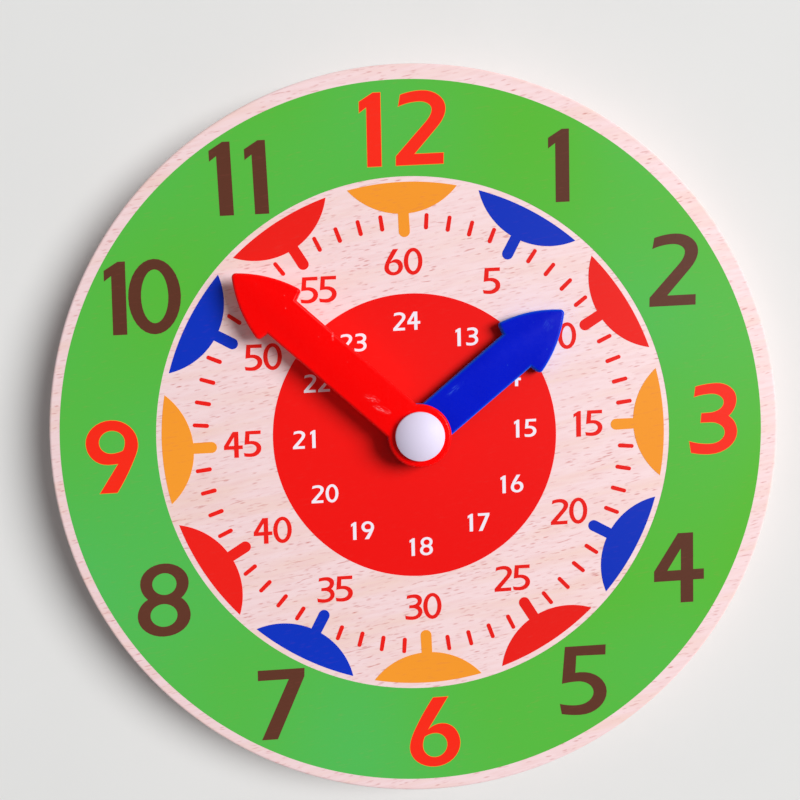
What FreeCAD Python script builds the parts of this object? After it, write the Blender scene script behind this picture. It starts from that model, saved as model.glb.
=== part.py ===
import FreeCAD, Part
import math
import os
import re
import Sketcher

# Geared teaching clock lying on its back: +Z out of the dial, +Y to twelve, +X to three.
# The origin is on the hand axis at the back face. Millimetres and degrees throughout.

SIZES = {
    # Beech board
    "board_diameter": 145.0,
    "board_thickness": 12.0,
    "board_edge_bevel": 0.9,
    "dial_web": 3.5,
    "train_pocket_radius": 30.5,
    "cover_diameter": 76.0,
    "cover_thickness": 2.0,
    "cover_recess": 0.2,
    "cover_edge_gap": 0.2,
    # Screws of the cover
    "screw_circle_radius": 34.3,
    "screw_head_radius": 2.2,
    "screw_head_height": 1.1,
    "screw_shank_radius": 1.1,
    "screw_length": 7.0,
    # Bush, arbor and pipe on the hand axis
    "running_gap": 0.05,
    "arbor_radius": 1.5,
    "arbor_flat": 1.15,
    "pipe_radius": 3.2,
    "pipe_flat": 2.75,
    "bush_sleeve_radius": 5.0,
    "bush_flange_radius": 5.7,
    "bush_flange_thickness": 0.6,
    "bush_end_rise": 0.1,
    "ring_radius": 6.4,
    "ring_thickness": 1.05,
    "thrust_washer_radius": 4.2,
    "thrust_washer_thickness": 0.35,
    "spring_radius": 3.4,
    "spring_sheet": 0.3,
    "spring_height": 0.8,
    # Wheel train
    "tooth_module": 0.8,
    "pressure_angle": 20.0,
    "tooth_thinning": 0.08,
    "dedendum": 1.25,
    "minute_pinion_teeth": 10,
    "minute_pinion_shift": 0.4,
    "idler_wheel_teeth": 30,
    "idler_pinion_teeth": 8,
    "idler_pinion_shift": 0.5,
    "hour_wheel_teeth": 32,
    "minute_pinion_addendum": 0.9,
    "idler_pinion_addendum": 0.85,
    "wheel_addendum": 1.0,
    "pinion_width": 2.0,
    "wheel_width": 1.8,
    "idler_pinion_length": 2.45,
    "idler_collar_radius": 2.6,
    "stud_radius": 1.0,
    "stud_hold": 2.0,
    "cover_floor": 0.6,
    "stud_washer_radius": 3.4,
    "stud_washer_thickness": 0.5,
    # Hands and cap
    "hand_hub_radius": 6.15,
    "hand_shaft_width": 8.4,
    "head_base_rise": 0.55,
    "head_side_radius": 25.0,
    "head_tip_radius": 0.8,
    "head_corner_radius": 0.7,
    "hour_hand_thickness": 2.1,
    "hour_hand_reach": 37.6,
    "hour_head_base": 25.3,
    "hour_head_width": 13.0,
    "hour_hand_turn": -52.4,
    "hand_lift": 0.1,
    "hand_washer_radius": 4.4,
    "hand_washer_thickness": 0.3,
    "minute_hand_thickness": 2.2,
    "minute_hand_reach": 47.5,
    "minute_head_base": 34.9,
    "minute_head_width": 12.7,
    "minute_hand_turn": 46.0,
    "cap_radius": 4.75,
    "cap_rim": 1.0,
    "cap_height": 2.4,
    "cap_socket": 1.2,
}

document = FreeCAD.newDocument("TeachingClock")
sheet = document.addObject("Spreadsheet::Sheet", "Sizes")
for row, (alias, number) in enumerate(SIZES.items(), start=1):
    sheet.set(f"A{row}", alias.replace("_", " "))
    sheet.set(f"B{row}", str(number))
    sheet.setAlias(f"B{row}", alias)
document.recompute()


def named(text):
    """Write an expression with each size's name pointing at its cell."""
    return re.sub("[a-z_]+", lambda word: f"Sizes.{word[0]}" if word[0] in SIZES else word[0], text)


def size(text):
    """Work out an expression of sizes as a number."""
    result = sheet.evalExpression(named(text))
    return float(getattr(result, "Value", result))


# Levels above the back face, from the cover forwards to the cap
COVER_TOP = "( cover_recess + cover_thickness )"
SOCKET_FLOOR = "( cover_recess + cover_floor )"
DIAL_FACE = "board_thickness"
WEB_BACK = "( board_thickness - dial_web )"
PINION_BASE = f"( {COVER_TOP} + spring_height + running_gap )"
THRUST_BASE = f"( {PINION_BASE} + pinion_width + running_gap )"
HOUR_WHEEL_BASE = f"( {THRUST_BASE} + thrust_washer_thickness )"
RING_BASE = f"( {WEB_BACK} - ring_thickness )"
BUSH_BASE = f"( {RING_BASE} - bush_end_rise )"
HOUR_HAND_BASE = f"( {DIAL_FACE} + bush_flange_thickness + hand_lift )"
HAND_WASHER_BASE = f"( {HOUR_HAND_BASE} + hour_hand_thickness )"
MINUTE_HAND_BASE = f"( {HAND_WASHER_BASE} + hand_washer_thickness + running_gap )"
CAP_BASE = f"( {MINUTE_HAND_BASE} + minute_hand_thickness )"
STUD_DISTANCE = "( tooth_module * ( minute_pinion_teeth + idler_wheel_teeth ) / 2 )"


def bind(target, name, text):
    """Tie a property to an expression of sizes."""
    target.setExpression(name, named(text))


def new_body(label, level="0", turn=0.0):
    """Start a solid of its own, lifted to its level and turned about the upright axis."""
    body = document.addObject("PartDesign::Body", label)
    body.Label = label
    body.Placement = FreeCAD.Placement(
        FreeCAD.Vector(0, 0, size(level)),
        FreeCAD.Rotation(FreeCAD.Vector(0, 0, 1), turn),
    )
    bind(body, "Placement.Base.z", level)
    return body


def origin_part(body, role):
    """Find a plane or an axis of the body's own origin."""
    return next(item for item in body.Origin.OriginFeatures if item.Role == role)


def new_sketch(body, name, role, level="0", turn=0.0):
    """Attach an empty sketch to one of the body's planes, raised and turned if asked."""
    sketch = body.newObject("Sketcher::SketchObject", name)
    sketch.AttachmentSupport = [(origin_part(body, role), "")]
    sketch.MapMode = "FlatFace"
    sketch.AttachmentOffset = FreeCAD.Placement(
        FreeCAD.Vector(0, 0, size(level)),
        FreeCAD.Rotation(FreeCAD.Vector(0, 0, 1), turn),
    )
    bind(sketch, "AttachmentOffset.Base.z", level)
    return sketch


def arc_middle(start, end, radius):
    """Middle point of an arc; a positive radius bulges to the right of the way it runs."""
    chord = end - start
    side = FreeCAD.Vector(chord.y, -chord.x, 0).normalize()
    rise = abs(radius) - math.sqrt(radius * radius - chord.Length ** 2 / 4)
    return start + chord * 0.5 + side * math.copysign(rise, radius)


def draw_outline(sketch, corners, arcs=None):
    """Draw a closed outline through corners given as expressions, with arcs where named."""
    arcs = arcs or {}
    places = [FreeCAD.Vector(size(across), size(up), 0) for across, up in corners]
    spans = []
    for index, start in enumerate(places):
        end = places[(index + 1) % len(places)]
        if index in arcs:
            radius = size(arcs[index])
            middle = arc_middle(start, end, radius)
            edge = sketch.addGeometry(Part.Arc(start, middle, end), False)
            spans.append((edge, 1, 2) if radius > 0 else (edge, 2, 1))
        else:
            edge = sketch.addGeometry(Part.LineSegment(start, end), False)
            spans.append((edge, 1, 2))
    for index, (edge, first, last) in enumerate(spans):
        following = spans[(index + 1) % len(spans)]
        sketch.addConstraint(Sketcher.Constraint("Coincident", edge, last, following[0], following[1]))
    for index, (edge, first, last) in enumerate(spans):
        place = places[index]
        across, up = corners[index]
        for kind, text, number in (("DistanceX", across, place.x), ("DistanceY", up, place.y)):
            tie = sketch.addConstraint(Sketcher.Constraint(kind, -1, 1, edge, first, number))
            bind(sketch, f"Constraints[{tie}]", text)
        if index in arcs:
            tie = sketch.addConstraint(Sketcher.Constraint("Radius", edge, abs(size(arcs[index]))))
            bind(sketch, f"Constraints[{tie}]", f"abs( {arcs[index]} )")


def draw_circle(sketch, radius, across="0", up="0"):
    """Draw a circle with its radius and centre tied to sizes."""
    centre = FreeCAD.Vector(size(across), size(up), 0)
    edge = sketch.addGeometry(Part.Circle(centre, FreeCAD.Vector(0, 0, 1), size(radius)), False)
    ties = (
        ("DistanceX", (-1, 1, edge, 3, centre.x), across),
        ("DistanceY", (-1, 1, edge, 3, centre.y), up),
        ("Radius", (edge, size(radius)), radius),
    )
    for kind, where, text in ties:
        tie = sketch.addConstraint(Sketcher.Constraint(kind, *where))
        bind(sketch, f"Constraints[{tie}]", text)


def turned(body, name, corners, arcs=None):
    """Turn an outline of radius and height about the body's upright axis."""
    sketch = new_sketch(body, f"{name}_profile", "XZ_Plane")
    draw_outline(sketch, corners, arcs)
    feature = body.newObject("PartDesign::Revolution", name)
    feature.Profile = sketch
    feature.ReferenceAxis = (sketch, ["V_Axis"])
    feature.Angle = 360
    document.recompute()
    return feature


def padded(body, name, sketch, length):
    """Raise a sketch by a length along the body's upright axis."""
    feature = body.newObject("PartDesign::Pad", name)
    feature.Profile = sketch
    feature.Length = size(length)
    bind(feature, "Length", length)
    document.recompute()
    return feature


def pocketed(body, name, sketch, depth):
    """Cut a sketch into the body by a depth upwards, and make sure that it bites."""
    before = body.Shape.Volume
    feature = body.newObject("PartDesign::Pocket", name)
    feature.Profile = sketch
    feature.Length = size(depth)
    feature.Reversed = True
    bind(feature, "Length", depth)
    document.recompute()
    if body.Shape.Volume > before - 1e-4:
        raise RuntimeError(f"{name} cuts nothing from {body.Label}")
    return feature


def picked_edges(body, wanted):
    """The body's last feature with the names of those of its edges that a test picks out."""
    base = body.Tip
    return base, [f"Edge{number}" for number, edge in enumerate(base.Shape.Edges, start=1) if wanted(edge)]


def rounded(body, name, wanted, radius):
    """Round the picked edges."""
    feature_base = picked_edges(body, wanted)
    feature = body.newObject("PartDesign::Fillet", name)
    feature.Base = feature_base
    feature.Radius = size(radius)
    bind(feature, "Radius", radius)
    document.recompute()


def eased(body, name, wanted, bevel):
    """Take a small bevel off the picked edges."""
    feature_base = picked_edges(body, wanted)
    feature = body.newObject("PartDesign::Chamfer", name)
    feature.Base = feature_base
    feature.Size = size(bevel)
    bind(feature, "Size", bevel)
    document.recompute()


def ring_body(label, level, outer, inner, thickness):
    """A flat washer or ring, turned from a rectangle."""
    body = new_body(label, level)
    turned(body, f"{label}_ring", [(inner, "0"), (outer, "0"), (outer, thickness), (inner, thickness)])
    return body


def cut_flats(body, name, radius, flat, level, length, turn=0.0):
    """Mill two opposite flats on a round end, parallel to the hand that it carries."""
    sketch = new_sketch(body, f"{name}_sides", "XY_Plane", level, turn)
    clear = f"( {radius} + 1 )"
    for sign in ("", "-"):
        near = f"{sign} {flat}" if sign else flat
        far = f"{sign} {clear}" if sign else clear
        draw_outline(sketch, [(near, f"- {clear}"), (far, f"- {clear}"), (far, clear), (near, clear)])
    pocketed(body, name, sketch, length)


def involute(angle):
    """The involute function of an angle in radians."""
    return math.tan(angle) - angle


def draw_teeth(sketch, teeth, shift, addendum):
    """Draw a toothed rim; each flank is the involute, taken in two straight runs."""
    count = int(size(teeth))
    pitch = size(f"tooth_module * {teeth} / 2")
    tip = pitch + size(f"tooth_module * ( {addendum} + {shift} )")
    root = pitch + size(f"tooth_module * ( {shift} - dedendum )")
    pressure = math.radians(size("pressure_angle"))
    base = pitch * math.cos(pressure)
    thickness = size("tooth_module * pi / 2 - tooth_thinning")
    thickness += 2 * size(f"tooth_module * {shift}") * math.tan(pressure)

    def half_angle(radius):
        rolled = math.acos(min(1.0, base / radius))
        return thickness / (2 * pitch) + involute(pressure) - involute(rolled)

    foot = max(base, root)
    middle = (foot + tip) / 2
    flank = [(root, half_angle(foot)), (middle, half_angle(middle)), (tip, half_angle(tip))]
    tooth = [(radius, -angle) for radius, angle in flank] + flank[::-1]
    places = []
    for number in range(count):
        turn = 2 * math.pi * number / count
        for radius, angle in tooth:
            across = radius * math.cos(turn + angle)
            up = radius * math.sin(turn + angle)
            places.append(FreeCAD.Vector(across, up, 0))
    for start, end in zip(places, places[1:] + places[:1]):
        sketch.addGeometry(Part.LineSegment(start, end), False)


def toothed(body, name, level, width, bore, teeth, turn=0.0):
    """Raise a toothed wheel with a round hole; its teeth are given by count, shift and addendum."""
    sketch = new_sketch(body, f"{name}_outline", "XY_Plane", level, turn)
    draw_teeth(sketch, *teeth)
    draw_circle(sketch, bore)
    padded(body, name, sketch, width)


def collar(body, name, level, length, outer, bore):
    """Raise a plain round collar with a hole."""
    sketch = new_sketch(body, f"{name}_outline", "XY_Plane", level)
    draw_circle(sketch, outer)
    draw_circle(sketch, bore)
    padded(body, name, sketch, length)


def is_circle(edge, radius):
    """Whether an edge is a full circle of a radius."""
    return edge.Curve.TypeId == "Part::GeomCircle" and abs(edge.Curve.Radius - radius) < 1e-4


def screw_places():
    """The four screw places, halfway between the dial's quarters."""
    for number in range(4):
        angle = f"( 45 deg + 90 deg * {number} )"
        yield number, f"( screw_circle_radius * cos{angle} )", f"( screw_circle_radius * sin{angle} )"


def make_board():
    """Beech disc with a stepped round pocket in its back and a hole for the bush."""
    body = new_body("clock_board")
    half = "( board_diameter / 2 )"
    rebate = "( cover_diameter / 2 + cover_edge_gap )"
    turned(body, "board_disc", [
        (rebate, "0"),
        (half, "0"),
        (half, DIAL_FACE),
        ("bush_sleeve_radius", DIAL_FACE),
        ("bush_sleeve_radius", WEB_BACK),
        ("train_pocket_radius", WEB_BACK),
        ("train_pocket_radius", COVER_TOP),
        (rebate, COVER_TOP),
    ])
    edge_radius = size(half)
    dial_level = size(DIAL_FACE)

    def on_front_rim(edge):
        return is_circle(edge, edge_radius) and edge.Curve.Center.z > dial_level / 2

    eased(body, "board_front_edge", on_front_rim, "board_edge_bevel")
    stud_hole = new_sketch(body, "stud_hole_circle", "XY_Plane", WEB_BACK)
    draw_circle(stud_hole, "stud_radius", "0", f"- {STUD_DISTANCE}")
    pocketed(body, "stud_hole", stud_hole, "stud_hold")
    pilots = new_sketch(body, "pilot_circles", "XY_Plane", COVER_TOP)
    for _, across, up in screw_places():
        draw_circle(pilots, "screw_shank_radius", across, up)
    pocketed(body, "pilot_holes", pilots, f"screw_length + cover_recess - {COVER_TOP}")
    return body


def make_back_cover():
    """Round moulded cover, let into the back, with four counterbored screw holes."""
    body = new_body("back_cover", "cover_recess")
    half = "( cover_diameter / 2 )"
    turned(body, "cover_disc", [
        ("0", "0"),
        (half, "0"),
        (half, "cover_thickness"),
        ("( arbor_radius + running_gap )", "cover_thickness"),
        ("( arbor_radius + running_gap )", "cover_floor"),
        ("0", "cover_floor"),
    ])
    socket = new_sketch(body, "stud_socket_circle", "XY_Plane", "cover_floor")
    draw_circle(socket, "stud_radius", "0", f"- {STUD_DISTANCE}")
    pocketed(body, "stud_socket", socket, "cover_thickness - cover_floor")
    bores = new_sketch(body, "screw_hole_circles", "XY_Plane")
    seats = new_sketch(body, "screw_seat_circles", "XY_Plane")
    for _, across, up in screw_places():
        draw_circle(bores, "screw_shank_radius", across, up)
        draw_circle(seats, "screw_head_radius", across, up)
    pocketed(body, "screw_holes", bores, "cover_thickness")
    pocketed(body, "screw_seats", seats, "screw_head_height")
    return body


def make_cover_screws():
    """Four cheese-head wood screws; threads and drive recesses are too fine to model here."""
    bodies = []
    for number, across, up in screw_places():
        body = new_body(f"cover_screw_{number + 1}", "cover_recess")
        bind(body, "Placement.Base.x", across)
        bind(body, "Placement.Base.y", up)
        turned(body, f"screw_{number + 1}_shape", [
            ("0", "0"),
            ("screw_head_radius", "0"),
            ("screw_head_radius", "screw_head_height"),
            ("screw_shank_radius", "screw_head_height"),
            ("screw_shank_radius", "screw_length"),
            ("0", "screw_length"),
        ])
        bodies.append(body)
    return bodies


def make_centre_bush():
    """Flanged sleeve pushed in from the dial side, in which the hour pipe turns."""
    body = new_body("centre_bush", BUSH_BASE)
    bore = "( pipe_radius + running_gap )"
    shoulder = f"( {DIAL_FACE} - {BUSH_BASE} )"
    top = f"( {shoulder} + bush_flange_thickness )"
    turned(body, "bush_shape", [
        (bore, "0"),
        ("bush_sleeve_radius", "0"),
        ("bush_sleeve_radius", shoulder),
        ("bush_flange_radius", shoulder),
        ("bush_flange_radius", top),
        (bore, top),
    ])
    return body


def make_friction_spring():
    """Bowed spring washer that presses the arbor forwards, so that the hands stay where they are set."""
    rise = "( spring_height - spring_sheet )"
    bow_radius = f"( ( spring_radius ^ 2 + {rise} ^ 2 ) / ( 2 * {rise} ) )"
    width = "( 3 * spring_radius )"
    across = FreeCAD.Rotation(FreeCAD.Vector(1, 0, 0), -90)

    def rod(name, radius):
        cylinder = document.addObject("Part::Cylinder", name)
        cylinder.Placement = FreeCAD.Placement(FreeCAD.Vector(0, 0, 0), across)
        bind(cylinder, "Radius", radius)
        bind(cylinder, "Height", width)
        bind(cylinder, "Placement.Base.y", f"- {width} / 2")
        bind(cylinder, "Placement.Base.z", f"{COVER_TOP} + {rise} - {bow_radius}")
        return cylinder

    def post(name, radius):
        cylinder = document.addObject("Part::Cylinder", name)
        bind(cylinder, "Radius", radius)
        bind(cylinder, "Height", "( 2 * spring_height )")
        bind(cylinder, "Placement.Base.z", COVER_TOP)
        return cylinder

    sheet_metal = document.addObject("Part::Cut", "spring_sheet_bow")
    sheet_metal.Base = rod("bow_outside", f"( {bow_radius} + spring_sheet )")
    sheet_metal.Tool = rod("bow_inside", bow_radius)
    ring = document.addObject("Part::Cut", "spring_outline")
    ring.Base = post("spring_outer", "spring_radius")
    ring.Tool = post("spring_hole", "( arbor_radius + 2 * running_gap )")
    washer = document.addObject("Part::Common", "friction_spring")
    washer.Base = sheet_metal
    washer.Tool = ring
    washer.Label = "friction_spring"
    document.recompute()
    return washer


def make_gear_stud():
    """Steel pin held in the dial web in front and in the cover behind."""
    body = new_body("gear_stud", SOCKET_FLOOR)
    bind(body, "Placement.Base.y", f"- {STUD_DISTANCE}")
    length = f"( {WEB_BACK} + stud_hold - {SOCKET_FLOOR} )"
    turned(body, "stud_shape", [("0", "0"), ("stud_radius", "0"), ("stud_radius", length), ("0", length)])
    return body


def make_stud_washer():
    """Thin washer that keeps the moulded wheel off the wood."""
    level = f"( {WEB_BACK} - stud_washer_thickness )"
    bore = "( stud_radius + running_gap )"
    body = ring_body("stud_washer", level, "stud_washer_radius", bore, "stud_washer_thickness")
    bind(body, "Placement.Base.y", f"- {STUD_DISTANCE}")
    return body


def make_compound_gear():
    """Idler moulded in one: the thirty-tooth wheel behind and the eight-tooth pinion in front."""
    body = new_body("compound_gear", PINION_BASE, 90.0)
    bind(body, "Placement.Base.y", f"- {STUD_DISTANCE}")
    bore = "( stud_radius + running_gap )"
    wheel_teeth = ("idler_wheel_teeth", "( 0 - minute_pinion_shift )", "wheel_addendum")
    pinion_teeth = ("idler_pinion_teeth", "idler_pinion_shift", "idler_pinion_addendum")
    toothed(body, "idler_wheel", "0", "wheel_width", bore, wheel_teeth, 180.0 / size("idler_wheel_teeth"))
    toothed(body, "idler_pinion", "wheel_width", "idler_pinion_length", bore, pinion_teeth)
    back_length = "( spring_height - running_gap )"
    collar(body, "idler_back_collar", f"( 0 - {back_length} )", back_length, "idler_collar_radius", bore)
    front_base = "( wheel_width + idler_pinion_length )"
    front_length = f"( {WEB_BACK} - stud_washer_thickness - running_gap - {PINION_BASE} - {front_base} )"
    collar(body, "idler_front_collar", front_base, front_length, "idler_collar_radius", bore)
    return body


def make_minute_pinion():
    """Ten-tooth pinion pressed on the arbor."""
    body = new_body("minute_pinion", PINION_BASE, -90.0)
    teeth = ("minute_pinion_teeth", "minute_pinion_shift", "minute_pinion_addendum")
    toothed(body, "minute_pinion_wheel", "0", "pinion_width", "arbor_radius", teeth)
    return body


def make_hour_wheel():
    """Thirty-two-tooth wheel moulded with the pipe that carries the hour hand."""
    wheel_turn = -90.0
    body = new_body("hour_wheel", HOUR_WHEEL_BASE, wheel_turn)
    bore = "( arbor_radius + running_gap )"
    teeth = ("hour_wheel_teeth", "( 0 - idler_pinion_shift )", "wheel_addendum")
    toothed(body, "hour_wheel_rim", "0", "wheel_width", bore, teeth, 180.0 / size("hour_wheel_teeth"))
    pipe_length = f"( {HAND_WASHER_BASE} - {HOUR_WHEEL_BASE} - wheel_width )"
    collar(body, "hour_pipe", "wheel_width", pipe_length, "pipe_radius", bore)
    cut_flats(body, "pipe_flats", "pipe_radius", "pipe_flat", f"( {HOUR_HAND_BASE} - {HOUR_WHEEL_BASE} )",
              "hour_hand_thickness", size("hour_hand_turn") - wheel_turn)
    return body


def make_minute_arbor():
    """Steel arbor with a flatted front end for the minute hand."""
    body = new_body("minute_arbor", f"( {SOCKET_FLOOR} + running_gap )", size("minute_hand_turn"))
    start = f"( {SOCKET_FLOOR} + running_gap )"
    length = f"( {CAP_BASE} + cap_socket - {start} )"
    turned(body, "arbor_shape", [
        ("0", "0"), ("arbor_radius", "0"), ("arbor_radius", length), ("0", length),
    ])
    seat = f"( {MINUTE_HAND_BASE} - {start} )"
    cut_flats(body, "arbor_flats", "arbor_radius", "arbor_flat", seat, f"{length} - {seat}")
    return body


def make_hand(label, level, turn, reach, head_base, head_width, thickness, bore, flat):
    """Moulded hand: round hub, straight shaft and an arrowhead with bowed sides."""
    body = new_body(label, level, size(turn))
    side = "( hand_shaft_width / 2 )"
    corner = f"( {head_width} / 2 )"
    shoulder = "( sqrt( hand_hub_radius ^ 2 - ( hand_shaft_width / 2 ) ^ 2 ) )"
    barb = f"( {head_base} + head_base_rise )"
    outline = new_sketch(body, f"{label}_outline", "XY_Plane")
    hub_foot = "( 0 - hand_hub_radius )"
    draw_outline(outline, [
        ("0", hub_foot),
        (side, shoulder),
        (side, head_base),
        (corner, barb),
        ("0", reach),
        (f"( 0 - {corner} )", barb),
        (f"( 0 - {side} )", head_base),
        (f"( 0 - {side} )", shoulder),
    ], {0: "hand_hub_radius", 3: "head_side_radius", 4: "head_side_radius", 7: "hand_hub_radius"})
    padded(body, f"{label}_plate", outline, thickness)
    eye = new_sketch(body, f"{label}_eye", "XY_Plane")
    eye_height = f"( sqrt( {bore} ^ 2 - {flat} ^ 2 ) )"
    draw_outline(eye, [
        (flat, f"( 0 - {eye_height} )"),
        (flat, eye_height),
        (f"( 0 - {flat} )", eye_height),
        (f"( 0 - {flat} )", f"( 0 - {eye_height} )"),
    ], {1: bore, 3: bore})
    pocketed(body, f"{label}_hole", eye, thickness)
    tip_height = size(reach)
    barb_height = size(barb)
    top = size(thickness)

    def upright_at(edge, height):
        low, high = edge.BoundBox.ZMin, edge.BoundBox.ZMax
        return high - low > top / 2 and abs(edge.CenterOfMass.y - height) < 1e-3

    rounded(body, f"{label}_tip", lambda edge: upright_at(edge, tip_height), "head_tip_radius")
    rounded(body, f"{label}_barbs", lambda edge: upright_at(edge, barb_height), "head_corner_radius")
    return body


def make_centre_cap():
    """Glossy domed cap pushed over the end of the arbor."""
    body = new_body("centre_cap", CAP_BASE)
    dome_rise = "( cap_height - cap_rim )"
    dome_radius = f"( ( cap_radius ^ 2 + {dome_rise} ^ 2 ) / ( 2 * {dome_rise} ) )"
    turned(body, "cap_dome", [
        ("arbor_radius", "0"),
        ("cap_radius", "0"),
        ("cap_radius", "cap_rim"),
        ("0", "cap_height"),
        ("0", "cap_socket"),
        ("arbor_radius", "cap_socket"),
    ], {2: dome_radius})
    return body


def make_parts():
    """Build every sub-part, from the board forwards."""
    parts = [make_board(), make_centre_bush()]
    parts.append(ring_body("bush_ring", RING_BASE, "ring_radius", "bush_sleeve_radius", "ring_thickness"))
    parts += [make_gear_stud(), make_stud_washer(), make_compound_gear()]
    parts.append(make_hour_wheel())
    parts.append(ring_body("thrust_washer", THRUST_BASE, "thrust_washer_radius",
                           "( arbor_radius + running_gap )", "thrust_washer_thickness"))
    parts += [make_minute_arbor(), make_minute_pinion(), make_friction_spring()]
    parts.append(make_back_cover())
    parts += make_cover_screws()
    parts.append(make_hand("hour_hand", HOUR_HAND_BASE, "hour_hand_turn", "hour_hand_reach", "hour_head_base",
                           "hour_head_width", "hour_hand_thickness", "pipe_radius", "pipe_flat"))
    parts.append(ring_body("hand_washer", HAND_WASHER_BASE, "hand_washer_radius",
                           "( arbor_radius + running_gap )", "hand_washer_thickness"))
    parts.append(make_hand("minute_hand", MINUTE_HAND_BASE, "minute_hand_turn", "minute_hand_reach",
                           "minute_head_base", "minute_head_width", "minute_hand_thickness",
                           "arbor_radius", "arbor_flat"))
    parts.append(make_centre_cap())
    return parts


def check(parts):
    """Stop if any object failed or any sub-part is not one sound solid."""
    for item in document.Objects:
        if "Invalid" in item.State or "Error" in item.State:
            raise RuntimeError(f"{item.Label} is {item.State}")
    for part in parts:
        shape = part.Shape
        if shape.isNull() or not shape.isValid() or len(shape.Solids) != 1:
            raise RuntimeError(f"{part.Label} is not one sound solid")
        print(f"{part.Label:16s} {shape.Volume:10.1f} mm3")


parts = make_parts()
document.recompute()
check(parts)
os.makedirs("parts", exist_ok=True)
for part in parts:
    part.Shape.exportStep(f"parts/{part.Label}.step")
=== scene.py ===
import math
import bpy
from mathutils import Matrix, Vector


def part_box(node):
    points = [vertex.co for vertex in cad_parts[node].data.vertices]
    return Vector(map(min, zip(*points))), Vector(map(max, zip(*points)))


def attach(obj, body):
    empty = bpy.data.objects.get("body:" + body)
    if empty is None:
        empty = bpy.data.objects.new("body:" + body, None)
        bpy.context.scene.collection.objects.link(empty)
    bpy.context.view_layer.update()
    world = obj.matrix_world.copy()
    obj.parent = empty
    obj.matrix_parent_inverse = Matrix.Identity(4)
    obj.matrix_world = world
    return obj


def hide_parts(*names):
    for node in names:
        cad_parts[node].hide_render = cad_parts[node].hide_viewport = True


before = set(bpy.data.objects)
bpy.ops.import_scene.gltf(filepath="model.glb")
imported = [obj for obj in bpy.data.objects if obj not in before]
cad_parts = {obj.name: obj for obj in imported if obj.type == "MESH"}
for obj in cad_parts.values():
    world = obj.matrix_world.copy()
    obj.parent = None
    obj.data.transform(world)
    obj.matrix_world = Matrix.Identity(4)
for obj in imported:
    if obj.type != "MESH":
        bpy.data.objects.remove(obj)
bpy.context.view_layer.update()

mm = 0.001


# Clock board: one disc of solid beech, 12 mm thick, turned round with its edges eased.
# A stepped round pocket in the back takes the wheels and the cover, and a hole through
# the web takes the bush. The face is sanded fine under a clear satin lacquer.

board_low, board_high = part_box("clock_board")
cover_low, cover_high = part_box("back_cover")
board_radius = board_high.x
dial_face = board_high.z
dial_web = 3.5 * mm
web_back = dial_face - dial_web
half_web = (web_back + dial_face) / 2
cover_gap = 0.2 * mm
rebate_radius = cover_high.x + cover_gap
pocket_radius = 30.5 * mm
bush_hole_radius = 5.0 * mm
shank_radius = 1.1 * mm
stud_radius = 1.0 * mm
front_rounding = 0.6 * mm
back_rounding = 0.7 * mm
rebate_rounding = 0.3 * mm
cut_overlap = 0.1 * mm
# Corners that differ by no more than these are at one level, or on one circle.
same_level = 0.001 * mm
same_radius = 0.02 * mm


def deselect():
    bpy.ops.object.select_all(action="DESELECT")


def make_active(piece):
    deselect()
    piece.select_set(True)
    bpy.context.view_layer.objects.active = piece


def open_with_faces(piece, wanted):
    """Open a piece for editing with only the wanted faces selected."""
    make_active(piece)
    bpy.ops.object.mode_set(mode="EDIT")
    bpy.ops.mesh.select_mode(type="FACE")
    bpy.ops.mesh.select_all(action="DESELECT")
    bpy.ops.object.mode_set(mode="OBJECT")
    for face in piece.data.polygons:
        face.select = wanted(face)
    bpy.ops.object.mode_set(mode="EDIT")


def open_with_edges(piece, wanted):
    """Open a piece for editing with only those edges selected whose two ends are both wanted."""
    make_active(piece)
    bpy.ops.object.mode_set(mode="EDIT")
    bpy.ops.mesh.select_mode(type="EDGE")
    bpy.ops.mesh.select_all(action="DESELECT")
    bpy.ops.object.mode_set(mode="OBJECT")
    corners = piece.data.vertices
    for edge in piece.data.edges:
        edge.select = all(wanted(corners[number].co) for number in edge.vertices)
    bpy.ops.object.mode_set(mode="EDIT")


def close_edit():
    bpy.ops.object.mode_set(mode="OBJECT")


def round_face(face):
    """A test that picks the flat round faces at the ends of a turned shape, by their many corners."""
    return len(face.vertices) > 16


def end_face(level):
    """A test that picks the flat round face at a level."""
    return lambda face: abs(face.center.z - level) < same_level and round_face(face)


def on_circle(radius, level, across=0.0, up=0.0):
    """A test that picks corners on a circle at a level."""
    def test(place):
        reach = math.hypot(place.x - across, place.y - up)
        return abs(reach - radius) < same_radius and abs(place.z - level) < same_level
    return test


def disc(name, radius, low, high, sides, across=0.0, up=0.0):
    """A round blank between two levels, with its place in its mesh."""
    deselect()
    bpy.ops.mesh.primitive_cylinder_add(
        vertices=sides, radius=radius, depth=high - low, location=(across, up, (low + high) / 2))
    piece = bpy.context.object
    piece.name = name
    bpy.ops.object.transform_apply(location=True, rotation=True, scale=True)
    return piece


def recess(piece, level, inset, new_level):
    """Step the flat end face at a level inwards, then push it to another level."""
    open_with_faces(piece, end_face(level))
    bpy.ops.mesh.inset(thickness=inset)
    bpy.ops.mesh.extrude_region_move(TRANSFORM_OT_translate={"value": (0, 0, new_level - level)})
    close_edit()


def draw_rim(piece, level, inset):
    """Draw a smaller rim inside the flat end face at a level."""
    open_with_faces(piece, end_face(level))
    bpy.ops.mesh.inset(thickness=inset)
    close_edit()


def open_through(piece, radius, lowest, across=0.0, up=0.0):
    """Take the flat round faces out of two rims of one radius, and join the rims with a wall."""
    def inside(place):
        reach = math.hypot(place.x - across, place.y - up)
        return reach < radius + same_radius and place.z > lowest - same_level
    open_with_faces(piece, round_face)
    bpy.ops.mesh.delete(type="FACE")
    close_edit()
    open_with_edges(piece, inside)
    bpy.ops.mesh.bridge_edge_loops()
    close_edit()


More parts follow.
